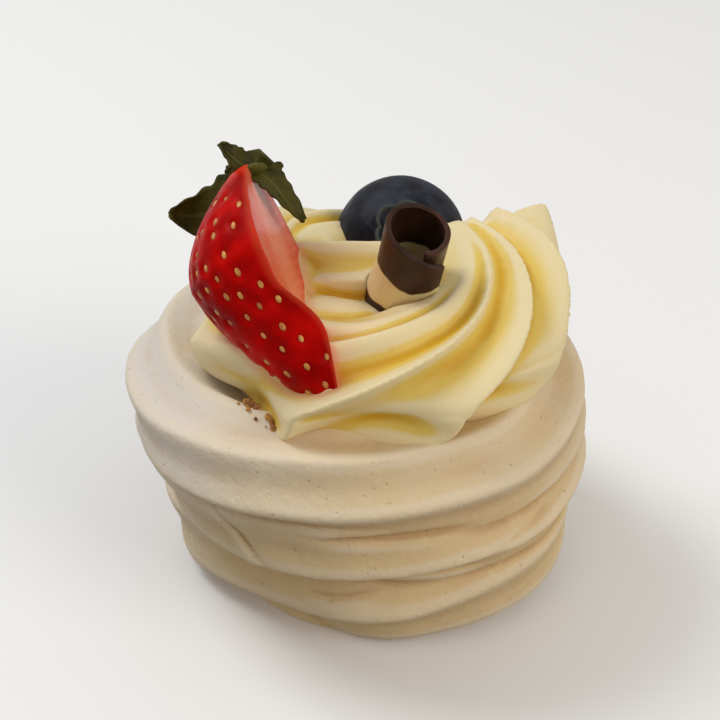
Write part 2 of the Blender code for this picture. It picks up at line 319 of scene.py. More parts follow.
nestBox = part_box("meringue")
nest = dict(
    radius=(nestBox[1].x - nestBox[0].x) / 2 + 0.4 * mm,
    height=nestBox[1].z - nestBox[0].z,
    middle=Vector((boxMiddle("meringue").x, boxMiddle("meringue").y, 0)),
    lobes=6,
    groove=0.22,
    front=274.0,
    stations=420,
    sides=150,
    voxel=0.45 * mm,
    twist=0.5,
    # bottom first; sizes in mm, directions in degrees
    tiers=(
        {"Level": 9.4, "Half Height": 9.6, "Half Width": 8.4, "Inset": 2.8, "Shift": 2.2, "Lift": 0.3,
         "Crest": -8, "Dent": 5.2, "Dent Towards": 238, "Bulge": -2.2, "Bulge Towards": 300},
        {"Level": 19.4, "Half Height": 7.8, "Half Width": 8.4, "Inset": 1.4, "Shift": 1.6, "Lift": 2.4,
         "Crest": -20, "Dent": 0.8, "Dent Towards": 225, "Bulge": 0.4, "Bulge Towards": 275},
        {"Level": 28.6, "Half Height": 7.6, "Half Width": 8.2, "Inset": 0, "Shift": 0, "Lift": 1.5,
         "Crest": -1, "Dent": 0, "Dent Towards": 228, "Bulge": 0, "Bulge Towards": 300},
    ),
    liftTowards=278.0,
    # where a tier has torn a little: direction and spread in degrees, then height, rise and depth in mm
    folds=((279, 17, 24.4, 0.7, 0.75), (293, 13, 16.7, -0.5, 0.7), (238, 9, 20.6, -3.4, 0.5),
           (268, 10, 10.8, 1.2, 0.35), (318, 10, 21.5, 1.0, 0.45), (20, 16, 23.5, 0.8, 0.6),
           (62, 14, 14.5, -0.8, 0.55), (112, 18, 25.0, 0.6, 0.6), (160, 14, 17.5, 1.0, 0.6),
           (190, 12, 25.5, -0.8, 0.5)),
)


def ropeTree():
    # one turn of a star rope, from a flat grid that is bent round twice
    tree, given, result = newTree("pipedRope", {
        "Stations": 100, "Sides": 50, "Ring Radius": 0.02, "Half Width": 0.008, "Half Height": 0.008,
        "Level": 0.01, "Shift": 0.0, "Lift": 0.0, "Lift Towards": 4.8, "Lobes": 6.0, "Groove": 0.15,
        "Crest": 0.0, "Twist": 0.5, "Front": 4.78, "Dent": 0.0, "Dent Towards": 4.0, "Bulge": 0.0,
        "Bulge Towards": 5.4, "Wobble": 0.0003, "Seed": 0.0, "Material": "Material"})

    def value(label):
        return Calc(tree, given.outputs[label])

    grid = addNode(tree, "GeometryNodeMeshGrid", {
        "Size X": 1, "Size Y": 1, "Vertices X": value("Stations"), "Vertices Y": value("Sides")})
    position = tree.nodes.new("GeometryNodeInputPosition").outputs[0]
    split = addNode(tree, "ShaderNodeSeparateXYZ", {0: position})
    angle = (Calc(tree, split.outputs[0]) + 0.5) * math.tau
    around = (Calc(tree, split.outputs[1]) + 0.5) * math.tau

    def uneven(offset, scale):
        # a slow noise that closes on itself round the ring, about -1 to 1
        place = addNode(tree, "ShaderNodeCombineXYZ", {
            0: angle.cos(), 1: angle.sin(), 2: value("Seed") + offset}).outputs[0]
        cloud = addNode(tree, "ShaderNodeTexNoise", {"Scale": scale, "Detail": 1, "Vector": place})
        return (Calc(tree, cloud.outputs[0]) - 0.5) * 3

    def swelling(amount, towards, tightness):
        return value(amount) * (((angle - value(towards)).cos() - 1) * tightness).make("EXPONENT")

    crest = value("Crest") + value("Twist") * (angle - value("Front")) + uneven(3.1, 1.3) * 0.10
    valley = (value("Lobes") * (around - crest) * 0.5).sin()
    depth = value("Groove") * (uneven(7.7, 1.6) * 0.25 + 1)
    # narrow crests and broad round valleys
    size = depth * -1 * ((valley * valley + 0.012).make("SQRT") - 0.11) + 1
    ring = value("Ring Radius") + uneven(1.3, 1.7) * value("Wobble")
    ring = ring - swelling("Dent", "Dent Towards", 5.7) + swelling("Bulge", "Bulge Towards", 8.4)
    reach = ring + value("Half Width") * size * around.cos()
    height = value("Level") + swelling("Lift", "Lift Towards", 3.2)
    height = height + value("Half Height") * size * around.sin()
    height = height + uneven(5.9, 1.5) * value("Wobble")
    place = addNode(tree, "ShaderNodeCombineXYZ", {
        0: value("Shift") + reach * angle.cos(), 1: reach * angle.sin(), 2: height}).outputs[0]
    bent = addNode(tree, "GeometryNodeSetPosition", {
        "Geometry": grid.outputs["Mesh"], "Position": place}).outputs[0]
    merged = addNode(tree, "GeometryNodeMergeByDistance", {"Geometry": bent, "Distance": 0.01 * mm})
    return finishTree(tree, given, result, merged.outputs[0])


def addDrum(bm, radius, bottom, top, middle):
    place = Matrix.Translation(middle + Vector((0, 0, (bottom + top) / 2)))
    bmesh.ops.create_cone(bm, cap_ends=True, segments=64, radius1=radius, radius2=radius,
                          depth=top - bottom, matrix=place)


def makeNest(material):
    tree = ropeTree()
    bm = bmesh.new()
    for number, tier in enumerate(nest["tiers"]):
        values = {label: nest[label.lower()] for label in ("Stations", "Sides", "Groove")}
        for label in ("Half Width", "Half Height", "Level", "Shift", "Lift", "Dent", "Bulge"):
            values[label] = tier[label] * mm
        for label in ("Crest", "Dent Towards", "Bulge Towards"):
            values[label] = math.radians(tier[label])
        rope = addObject("rope", bpy.data.meshes.new("rope"))
        runTree(rope, tree, {
            **values, "Ring Radius": nest["radius"] - (tier["Inset"] + tier["Half Width"]) * mm,
            "Lobes": float(nest["lobes"]), "Twist": nest["twist"], "Front": math.radians(nest["front"]),
            "Lift Towards": math.radians(nest["liftTowards"]), "Seed": 2.0 * number, "Material": material})
        bm.from_mesh(rope.data)
        bpy.data.objects.remove(rope)
    addDrum(bm, nest["radius"] * 0.62, -1 * mm, nest["height"] - 3.2 * mm, Vector((2.5 * mm, 0, 0)))
    bmesh.ops.translate(bm, verts=bm.verts, vec=nest["middle"])
    shell = addObject("meringueNest", meshFrom("meringueNest", bm), material)
    oneSkin(shell, nest["voxel"], 2)
    tearFolds(shell.data)
    flattenBase(shell.data)
    markHollows(shell, "hollow", 26, 0.55 * mm)
    return shell


def tearFolds(mesh):
    # a narrow crease with a soft lip under it
    normals = [vert.normal.copy() for vert in mesh.vertices]
    for vert, normal in zip(mesh.vertices, normals):
        spot = vert.co - nest["middle"]
        angle = math.degrees(math.atan2(spot.y, spot.x))
        move = 0
        for towards, spread, level, rise, depth in nest["folds"]:
            turned = (angle - towards + 180) % 360 - 180
            if abs(turned) > 2.5 * spread:
                continue
            fade = math.exp(-(turned / spread) ** 4)
            gap = spot.z / mm - level - rise * turned / spread - 0.5 * slowNoise((turned / 9, level, 0), 3)
            lip, crease = math.exp(-((gap + 1.5) / 1.1) ** 2), math.exp(-(gap / 0.45) ** 2)
            move += depth * fade * (0.5 * lip - crease)
        vert.co += normal * (move * mm)


def largestPart(bm):
    # bubbles shut inside the skin are left out
    waiting, parts = set(bm.verts), []
    while waiting:
        first = waiting.pop()
        part, edge = {first}, [first]
        while edge:
            vert = edge.pop()
            for link in vert.link_edges:
                other = link.other_vert(vert)
                if other not in part:
                    part.add(other)
                    edge.append(other)
        waiting -= part
        parts.append(part)
    keep = max(parts, key=len)
    bmesh.ops.delete(bm, geom=[vert for vert in bm.verts if vert not in keep], context="VERTS")


def flattenBase(mesh):
    # everything below the ground is cut away and the cut is filled
    bm = bmesh.new()
    bm.from_mesh(mesh)
    geometry = list(bm.verts) + list(bm.edges) + list(bm.faces)
    cut = bmesh.ops.bisect_plane(
        bm, geom=geometry, plane_co=(0, 0, 0), plane_no=(0, 0, -1), clear_outer=True)
    edges = [item for item in cut["geom_cut"] if isinstance(item, bmesh.types.BMEdge)]
    bmesh.ops.holes_fill(bm, edges=edges, sides=0)
    largestPart(bm)
    bmesh.ops.dissolve_degenerate(bm, dist=0.001 * mm, edges=bm.edges)
    bmesh.ops.recalc_face_normals(bm, faces=bm.faces)
    bm.to_mesh(mesh)
    bm.free()


# the cream: a ring of star rope, with a first turn across its middle

cream = dict(
    middle=nest["middle"] + Vector((1, -1, 0)) * mm,
    radius=27.5 * mm,
    wide=11.5 * mm,
    high=9.0 * mm,
    level=nest["height"] + 4.4 * mm,
    groove=0.31,
    start=40.0,
    end=396.0,
    # how far in mm the rope hangs down or draws in, in which direction and how widely in degrees
    sags=((1.2, 85, 50), (1.8, 240, 32), (1.0, 212, 24)),
    narrows=((2.3, 205, 36), (-0.8, 275, 35)),
    sway=0.3 * mm,
    # lobes begin far apart before the first of these directions, and closely after the last
    lobesFrom=187,
    lobesTo=329.5,
    farApart=54,
    close=40,
    climbTop=122,      # how far round the rope a lobe climbs, in degrees
    climbEnd=125,
    climbSteep=75,
    heartSize=8.0 * mm,
    heartLobes=6,
    heartTurn=30.0,
    heartPath=tuple(nest["middle"] + Vector(p) * mm for p in (
        (-14, 2.0, 43.0), (-2, 0.6, 43.6), (15, -4, 43), (14.5, 11, 39.5))),
    shelfSize=5.0 * mm,
    shelfPath=tuple(nest["middle"] + Vector(p) * mm for p in (
        (-15, -9.4, 41.4), (-9, -10.2, 43.0), (-4, -9.8, 43.0), (2.8, -7.4, 41.6))),
    coreRadius=16 * mm,
    coreTop=43 * mm,
    # the hollow that the chocolate roll sits in
    seat=42.6 * mm,
    seatReach=7 * mm,
    seatRise=9 * mm,
    seatRamp=(4.6 * mm, 6.2 * mm),
    seatFront=(238, 55),
    seatKeep=0.12,
    berryGap=0.12 * mm,
    fleck=(4.5, -18.5, 46.0),    # a yellower spot, in mm from the middle of the nest
    voxel=0.36 * mm,
)


def star(turn, lobes, groove):
    # size of the section: narrow crests and broad round valleys
    valley = abs(math.sin(lobes * turn / 2))
    return 1 - groove * (math.hypot(valley, 0.11) - 0.11)


def loftRope(bm, stations, sides, place, section):
    rings = []
    for i in range(stations + 1):
        share = i / stations
        middle, side, wide, high = place(share)
        ring = []
        for j in range(sides):
            around = math.tau * j / sides
            size = section(share, around)
            offset = side * (wide * size * math.cos(around)) + up * (high * size * math.sin(around))
            ring.append(bm.verts.new(middle + offset))
        rings.append(ring)
    skinLines(bm, rings, closed=True)
    bm.faces.new(rings[0])
    bm.faces.new(rings[-1])


def ringPlace(share):
    # swells from its start, draws in on the left and lifts at its end
    angle = mix(cream["start"], cream["end"], share)
    lift = 0.85 * max(0, (angle - 300) / 100) ** 1.5
    swell = min(1, 0.55 + 0.45 * (angle - cream["start"]) / 90)
    sag, narrow = (sum(amount * bump(angle, middle, width) for amount, middle, width in cream[key])
                   for key in ("sags", "narrows"))
    sway = cream["sway"] * slowNoise((share * 7, 0, 0), 4)
    level = cream["level"] + (5 * lift - sag) * mm + sway
    reach = cream["radius"] - cream["wide"] + (lift - narrow) * mm + sway
    middle = cream["middle"] + outward(angle) * reach + up * level
    return middle, outward(angle), cream["wide"] * swell, cream["high"] * swell


def lobeNumber(begins):
    # each lobe begins at its own place round the rim, and they crowd towards the end
    first, last = cream["lobesFrom"], cream["lobesTo"]
    if begins < first:
        return (begins - first) / cream["farApart"]
    if begins > last:
        return 3 + (begins - last) / cream["close"]
    return 11 - math.sqrt(121 - (begins - first) / 2.5)


def ringSection(share, around):
    # a lobe starts low on the rim, climbs over the rope and runs along its inner shoulder
    angle = mix(cream["start"], cream["end"], share)
    turn = (math.degrees(around) + 90) % 360 - 90
    top, end, steep = cream["climbTop"], cream["climbEnd"], cream["climbSteep"]
    climb = min(turn, top)
    run = 12 * (1 - smooth(-25, 12, turn)) - steep * math.log((end - climb) / 140) + max(0, turn - top) * 2
    begins = angle - run + 3 * slowNoise((share * 9, around * 0.4, 0), 9)
    along = lobeNumber(begins) % 1
    valley = math.sin(math.pi * along ** (1.5 if begins < 240 else 0.75))
    depth = cream["groove"] * (1 + 0.3 * slowNoise((share * 8, math.cos(around), math.sin(around)), 2))
    deeper = 1 + 1.1 * bump(turn, -14, 22) * bump(angle, 285, 45)
    depth *= smooth(6, 30, 45 * (end - climb) / steep) * deeper
    depth *= 1 - 0.85 * smooth(78, 100, turn) * bump(angle, 252, 38)
    size = 1 - depth * (math.hypot(valley, 0.10) - 0.10)
    size -= 0.12 * smooth(80, 112, turn) * bump(angle, 250, 36)
    # the end of the rope opens into a tip
    flare = max(0, (angle - 330) / 66) ** 2
    return size * (1 + flare * (0.40 * bump(turn, 36, 24) - 0.17 * bump(turn, 88, 34)))


def shelfPlace(share):
    middle, along = curvePoint(cream["shelfPath"], share)
    size = (1 - 0.25 * share ** 3) * cream["shelfSize"]
    return middle, along.cross(up).normalized(), size * 1.25, size


def shelfSection(share, around):
    return 1 + 0.05 * slowNoise((share * 4, math.cos(around), math.sin(around)), 7)


def heartPlace(share):
    middle, along = curvePoint(cream["heartPath"], share)
    size = (1 - 0.2 * abs(2 * share - 0.9)) * cream["heartSize"]
    return middle, along.cross(up).normalized(), size, size


def heartSection(share, around):
    crest = math.radians(cream["heartTurn"] + 40 * share)
    return star(around - crest, cream["heartLobes"], cream["groove"])


def makeCream(material, berry):
    bm = bmesh.new()
    loftRope(bm, 420, 200, ringPlace, ringSection)
    loftRope(bm, 120, 140, heartPlace, heartSection)
    loftRope(bm, 60, 80, shelfPlace, shelfSection)
    addDrum(bm, cream["coreRadius"], nest["height"] - 2 * mm, cream["coreTop"], cream["middle"])
    swirl = addObject("whippedCream", meshFrom("whippedCream", bm), material)
    oneSkin(swirl, cream["voxel"], 2)
    pressSeat(swirl)
    clearOf(swirl, berry)
    markHollows(swirl, "hollow", 30, 0.5 * mm)
    markBerryNearness(swirl, berry)
    return swirl


def pressSeat(swirl):
    # the chocolate roll has sunk a little way into the cream
    foot = curl["middle"] - curl["axis"] * curl["length"] / 2
    for vert in swirl.data.vertices:
        spot = vert.co - foot
        away = spot.cross(curl["axis"]).length
        if away > cream["seatReach"]:
            continue
        front = bump(math.degrees(math.atan2(spot.y, spot.x)) % 360, *cream["seatFront"])
        rise = cream["seatRise"]
        most = cream["seat"] + mix(rise, rise * smooth(*cream["seatRamp"], away), front)
        if vert.co.z > most:
            vert.co.z = most + (vert.co.z - most) * cream["seatKeep"]


def clearOf(swirl, berry):
    # cream that would stand inside the strawberry lies against it instead
    tree, gap, deepest = searchTree(berry), cream["berryGap"], -1.2 * mm
    outwards = [vert.normal.copy() for vert in swirl.data.vertices]
    for vert, outwardsHere in zip(swirl.data.vertices, outwards):
        place, normal, face, away = tree.find_nearest(vert.co, 4 * mm)
        if place is None:
            continue
        depth = (vert.co - place).dot(normal)
        if deepest < depth < gap and outwardsHere.dot(normal) > -0.2 and vert.co.z > nest["height"]:
            vert.co += normal * (gap * 0.5 - depth) * 0.9


def markBerryNearness(swirl, berry):
    # how close each point of the cream lies to the strawberry; the cream is pinker there
    tree = searchTree(berry)
    values = []
    for vert in swirl.data.vertices:
        found = tree.find_nearest(vert.co, 3 * mm)
        away = found[3] if found[0] else 3 * mm
        values.append(math.exp(-(away / (1.2 * mm)) ** 2))
    putAttribute(swirl.data, "berryNearness", values)


# the strawberry: a half with its skin outwards, cut face, seeds and leaves

berryLow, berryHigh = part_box("strawberry")
strawberry = dict(
    tip=Vector((berryHigh.x, berryLow.y, berryLow.z)) + Vector((0.3, 0.2, -0.1)) * mm,
    axis=Vector((-0.387, 0.660, 0.645)).normalized(),
    skin=Vector((-0.892, -0.088, -0.444)),
    length=34.0 * mm,
    radius=11.8 * mm,
    bulge=1.1,
    widest=20.6 * mm,
    seedRows=11,
    seedSize=Vector((0.36, 0.2, 0.58)) * mm,
    dimple=0.38 * mm,
    dimpleReach=0.85 * mm,
    swell=0.18 * mm,      # how uneven the skin is
    dome=0.6 * mm,
    seedSpacing=3.3 * mm,
    faceSink=0.35 * mm,
)
strawberry["place"] = Matrix.Translation(strawberry["tip"]) @ facing(strawberry["axis"], strawberry["skin"])


def berryRadius(along):
    share = along / strawberry["widest"]
    if share < 1:
        return strawberry["radius"] * (1 - (1 - share) ** 1.15) ** 0.68
    past = (along - strawberry["widest"]) / (strawberry["length"] - strawberry["widest"])
    return strawberry["radius"] * math.cos(1.34 * min(1, past)) ** 0.85


def berryPoint(along, turn):
    # a point of the skin; turn 0 is the middle of the rounded side, in radians
    radius = berryRadius(along)
    aside = radius * math.sin(turn) * (1.1 if turn < 0 else 1)
    return Vector((strawberry["bulge"] * radius * math.cos(turn), aside, along))


def nearEdge(along):
    # on the side seen first, the skin reaches further round towards the tip
    return math.pi / 2 + 0.42 * (1 - smooth(8 * mm, 17 * mm, along))


def berryNormal(along, turn):
    step = 0.1 * mm
    low = max(step, min(strawberry["length"] - 2 * step, along))
    rise = berryPoint(low + step, turn) - berryPoint(low - step, turn)
    sweep = berryPoint(low, turn + 0.01) - berryPoint(low, turn - 0.01)
    return sweep.cross(rise).normalized()


def seedSpots():
    # rows of seeds, each row shifted by half a step from the last
    chance = random.Random(7)
    spots = []
    rows = strawberry["seedRows"]
    for row in range(rows):
        along = strawberry["length"] * mix(0.06, 0.92, (row + 0.5) / rows)
        ring = math.pi * berryRadius(along) * 1.05
        count = max(1, round(ring / strawberry["seedSpacing"]))
        for k in range(count + 2):
            turn = math.pi * ((k + (row % 2) * 0.5) / count - 0.5)
            turn += chance.uniform(-0.07, 0.07)
            if -1.5 < turn < nearEdge(along) - 0.1:
                spots.append((along + chance.uniform(-0.5, 0.5) * mm, turn))
    return spots


def makeStrawberry(skinMaterial, fleshMaterial):
    spots = seedSpots()
    marks = [berryPoint(*spot) for spot in spots]
    rows, columns = 150, 170
    bm = bmesh.new()
    dimple, rim, streak, core = (
        bm.verts.layers.float.new(name) for name in ("dimple", "rim", "streak", "core"))
    lines = []
    for i in range(rows + 1):
        along = strawberry["length"] * (0.5 - 0.5 * math.cos(math.pi * i / rows)) ** 1.05
        line = []
        for j in range(columns + 1):
            turn = mix(-math.pi / 2, nearEdge(along), j / columns)
            point = berryPoint(along, turn)
            nearest = min((point - mark).length for mark in marks)
            hollow = math.exp(-(nearest / strawberry["dimpleReach"]) ** 2)
            edge = abs(2 * j / columns - 1)
            swell = strawberry["swell"] * noise.noise(point * 160)
            calm = 1 - smooth(0.93, 1, edge)
            point += berryNormal(along, turn) * (swell - strawberry["dimple"] * hollow) * calm
            vert = bm.verts.new(point)
            vert[dimple] = hollow
            vert[rim] = edge
            line.append(vert)
        lines.append(line)
    # a low dome closes the stalk end
    for i in range(1, 9):
        bend = math.pi / 2 * i / 8
        line = []
        for low in lines[rows]:
            inwards = Vector((low.co.x, low.co.y, 0)) * math.cos(bend)
            vert = bm.verts.new(inwards + up * (low.co.z + strawberry["dome"] * math.sin(bend)))
            vert[rim] = low[rim]
            line.append(vert)
        lines.append(line)
    skinLines(bm, lines)
    addCutFace(bm, lines, rim, streak, core)
    bmesh.ops.transform(bm, matrix=strawberry["place"], verts=bm.verts)
    half = addObject("strawberryHalf", meshFrom("strawberryHalf", bm, 0.005 * mm), skinMaterial)
    half.data.materials.append(fleshMaterial)
    half.data.shade_smooth()
    return half, spots


def addCutFace(bm, lines, rim, streak, core):
    # straight lines across from edge to edge, a little sunk towards the core
    across = 40
    face = []
    for line in lines:
        low, high = line[0].co.copy(), line[-1].co.copy()
        half = (high - low).length / 2
        strip = [line[0]]
        for k in range(1, across):
            share = k / across
            centre = 1 - abs(2 * share - 1)
            point = low.lerp(high, share)
            point.x += strawberry["faceSink"] * math.sin(math.pi * share) * min(1, half / (5 * mm))
            point.x += 0.1 * mm * noise.noise(point * 300) * min(1, half / (1 * mm))
            vert = bm.verts.new(point)
            vert[rim] = 1 + centre
            # pale threads run from the core to the skin and the tip
            thread = point.z / (1.5 * mm) + 2.2 * centre + 0.5 * slowNoise((point.z * 300, share * 3, 0), 5)
            vert[streak] = (0.5 + 0.5 * math.sin(math.tau * thread)) ** 3 * smooth(0.06, 0.25, centre)
            vert[core] = smooth(0.45, 0.85, centre) * smooth(0.2, 0.45, point.z / strawberry["length"])
            strip.append(vert)
        face.append([*strip, line[-1]])
    for first, second in zip(face, face[1:]):
        for k in range(across):
            quad = bm.faces.new((first[k + 1], first[k], second[k], second[k + 1]))
            quad.material_index = 1


def seedTree():
    # one seed on every point, standing on its normal and lying along the berry
    tree, given, result = newTree("seedScatter", {
        "Points": "Object", "Seed Size": (0.0004, 0.0002, 0.0007), "Material": "Material"})
    stand = addNode(tree, "FunctionNodeAlignEulerToVector", {
        "Vector": namedAttribute(tree, "lengthways")}, axis="Z")
    lean = addNode(tree, "FunctionNodeAlignEulerToVector", {
        "Rotation": stand.outputs[0], "Vector": namedAttribute(tree, "standing")}, axis="Y", pivot_axis="Z")
    # inputs 2 and 3 are the least and the most of a random number
    chance = addNode(tree, "FunctionNodeRandomValue", {2: 0.8, 3: 1.15, "Seed": 5}, data_type="FLOAT")
    scale = addNode(tree, "ShaderNodeVectorMath", {
        0: given.outputs["Seed Size"], "Scale": chance.outputs[1]}, operation="SCALE")
    return finishTree(tree, given, result, scatter(tree, given, 2, lean.outputs[0], scale.outputs[0]))


def makeSeeds(spots, material):
    turnOnly = strawberry["place"].to_3x3()
    places, standing, lengthways = [], [], []
    for along, turn in spots:
        normal = berryNormal(along, turn)
        rise = (berryPoint(along + 0.2 * mm, turn) - berryPoint(along - 0.2 * mm, turn)).normalized()
        sunk = berryPoint(along, turn) - normal * (strawberry["dimple"] - 0.06 * mm)
        places.append(strawberry["place"] @ sunk)
        standing.append(turnOnly @ normal)
        lengthways.append(turnOnly @ rise)
    return scattered("strawberrySeeds", places, {
        "standing": ("FLOAT_VECTOR", "vector", standing),
        "lengthways": ("FLOAT_VECTOR", "vector", lengthways)},
        seedTree(), {"Seed Size": strawberry["seedSize"], "Material": material})


leaves = dict(
    thickness=0.32 * mm,
    button=2.3 * mm,
    middle=strawberry["place"] @ Vector((0.3 * mm, 0, strawberry["length"] + 0.1 * mm)),
    # each follows a bent path that starts at the button, in mm from there, and faces one way
    sepals=(
        dict(width=4.8, face=(0.5, -0.3, 0.8),
             path=((2.2, -0.6, 0.5), (3.8, -1.2, -2.0), (7.0, -1.4, -6.2))),
        dict(width=3.6, face=(0.4, -0.5, 0.8),
             path=((-1.2, -0.2, 1.2), (-2.6, -0.4, 2.0), (-4.2, -0.6, 4.0))),
        dict(width=9.0, face=(-0.2, -0.8, 0.6),
             path=((2.0, 9.0, -6.0), (-5.0, 8.0, -13.0), (-11.4, 3.6, -8.6))),
        dict(width=2.4, face=(-0.6, -0.5, 0.6),
             path=((-1.6, -1.2, 0.3), (-2.8, -2.4, -0.6), (-3.6, -3.0, -2.6))),
        dict(width=4.2, face=(0.2, 0.5, 0.8),
             path=((1.0, 2.6, 0.6), (2.0, 5.4, -0.8), (2.6, 7.6, -4.2))),
        dict(width=4.4, face=(-0.3, 0.6, 0.7),
             path=((-1.0, 2.8, 0.2), (-2.2, 6.0, -2.0), (-2.8, 7.2, -6.6))),
    ),
)


def sepalSheet(bm, sepal, rib):
    rows, columns = 36, 14
    lines = []
    for i in range(rows + 1):
        share = i / rows
        point, along = curvePoint(((0, 0, 0), *sepal["path"]), share)
        across = along.cross(Vector(sepal["face"])).normalized()
        lift = across.cross(along)
        half = sepal["width"] / 2 * math.sin(math.pi * min(0.99, 0.16 + 0.84 * share)) ** 0.55
        line = []
        for j in range(columns + 1):
            side = 2 * j / columns - 1
            tooth = 1 + 0.07 * math.sin(share * 34 + side * 2) * abs(side)
            cup = 0.5 * side * side - 0.18 * math.exp(-(side / 0.12) ** 2)
            cup += 0.25 * slowNoise((share * 3, side, 0), sepal["width"])
            spot = point + across * (side * half * tooth) + lift * cup
            vert = bm.verts.new(leaves["middle"] + spot * mm)
            vert[rib] = side
            line.append(vert)
        lines.append(line)
    skinLines(bm, lines)


def addButton(bm):
    # a low lumpy cushion that the sepals grow from
    rows, columns = 16, 32
    lines = []
    for i in range(rows + 1):
        ring = outwardRing(columns, math.sin(math.pi * i / rows), math.cos(math.pi * i / rows))
        lines.append([bm.verts.new(point * leaves["button"]) for point in ring])
    skinLines(bm, lines, closed=True)
    bmesh.ops.remove_doubles(bm, verts=bm.verts, dist=0.001 * mm)
    turned = Matrix.Translation(leaves["middle"]) @ facing(strawberry["axis"], strawberry["skin"])
    bmesh.ops.transform(bm, matrix=turned @ Matrix.Diagonal((1, 1, 0.3, 1)), verts=bm.verts)
    bmesh.ops.recalc_face_normals(bm, faces=bm.faces)
    for vert in bm.verts:
        vert.co += vert.normal * (0.25 * mm * noise.noise(vert.co * 900))


def makeLeaves(material):
    bm = bmesh.new()
    rib = bm.verts.layers.float.new("rib")
    for sepal in leaves["sepals"]:
        sepalSheet(bm, sepal, rib)
    sheet = addObject("strawberryLeaves", meshFrom("strawberryLeaves", bm), material)
    solid = sheet.modifiers.new("thickness", "SOLIDIFY")
    solid.thickness = leaves["thickness"]
    solid.offset = 0
    settled(sheet)
    bm = bmesh.new()
    addButton(bm)
    bm.from_mesh(sheet.data)
    bm.to_mesh(sheet.data)
    bm.free()
    sheet.data.shade_smooth()
    return sheet


# the blueberry: a round berry with a frilled crown

blueberry = dict(
    middle=boxMiddle("blueberry"),
    radius=9.4 * mm,
    flat=0.06,                # how much lower than wide it is
    lumps=0.10 * mm,
    crown=Vector((0.0, -0.766, 0.643)),
    crownRadius=3.3 * mm,
    points=5,
    wellDepth=1.75 * mm,
    rimHeight=0.45 * mm,
    pointHeight=0.75 * mm,
    moat=0.12 * mm,
)


def blueberrySkin(polar, around):
    # direction and distance from the middle, and how far inside the crown
    frill = abs(math.cos(blueberry["points"] / 2 * around)) ** 0.7
    rimAt = math.asin(blueberry["crownRadius"] / blueberry["radius"]) * (0.92 + 0.16 * frill)
    radius = blueberry["radius"] * (1 - blueberry["flat"] * math.cos(polar) ** 2)
    ray = Vector((math.sin(polar) * math.cos(around), math.sin(polar) * math.sin(around), math.cos(polar)))
    radius += blueberry["lumps"] * noise.noise(ray * 2)
    well = 1 - smooth(rimAt * 0.62, rimAt * 0.98, polar)
    rim = math.exp(-((polar - rimAt * 1.04) / (0.11 * rimAt)) ** 2)
    radius -= blueberry["wellDepth"] * well
    radius += (blueberry["rimHeight"] + blueberry["pointHeight"] * frill) * rim
    radius -= blueberry["moat"] * math.exp(-((polar - rimAt * 1.45) / 0.09) ** 2)
    return ray, radius, max(well, rim)


def makeBlueberry(material):
    rows, columns = 120, 160
    bm = bmesh.new()
    crown = bm.verts.layers.float.new("crown")
    lines = []
    for i in range(rows + 1):
        line = []
        for j in range(columns):
            ray, radius, inside = blueberrySkin(math.pi * (i / rows), math.tau * j / columns)
            vert = bm.verts.new(ray * radius)
            vert[crown] = inside
            line.append(vert)
        lines.append(line)
    for first, second in zip(lines, lines[1:]):
        for j in range(columns):
            k = (j + 1) % columns
            bm.faces.new((first[k], first[j], second[j], second[k]))
    place = Matrix.Translation(blueberry["middle"]) @ facing(blueberry["crown"], Vector((1, 0, 0)))
    bmesh.ops.transform(bm, matrix=place, verts=bm.verts)
    berry = addObject("blueberryWhole", meshFrom("blueberryWhole", bm, 0.002 * mm), material)
    berry.data.shade_smooth()
    return berry


# the curl: a thin sheet of chocolate rolled once round itself

curl = dict(
    middle=boxMiddle("chocolate_curl") + Vector((-0.1, 0, 0.1)) * mm,
    axis=Vector((1.7, -6.6, 15.4)).normalized(),
    radius=4.7 * mm,
    sheet=0.75 * mm,
    length=17.0 * mm,
    overlap=40.0,
    seam=-75.0,
    gap=0.35 * mm,
    slant=1.0 * mm,       # how much lower the top is at the seam than opposite it
    notch=2.2 * mm,
    ragged=0.25 * mm,
    spread=0.9 * mm,      # the foot opens a little
    band=(0.33, 0.57),    # where the pale band begins and ends, as shares of the length
)


def bandShare(angle, towards, level):
    # 1 in the pale band, whose edges wander up and down
    low, high = curl["band"]
    low += 0.06 * bump(towards, 330, 40) + 0.02 * slowNoise((angle / 15, 9, 0), 2)
    high += 0.08 * bump(towards, 205, 35) + 0.02 * slowNoise((angle / 15, 2, 0), 2)
    return smooth(low - 0.01, low + 0.01, level) * (1 - smooth(high - 0.01, high + 0.01, level))


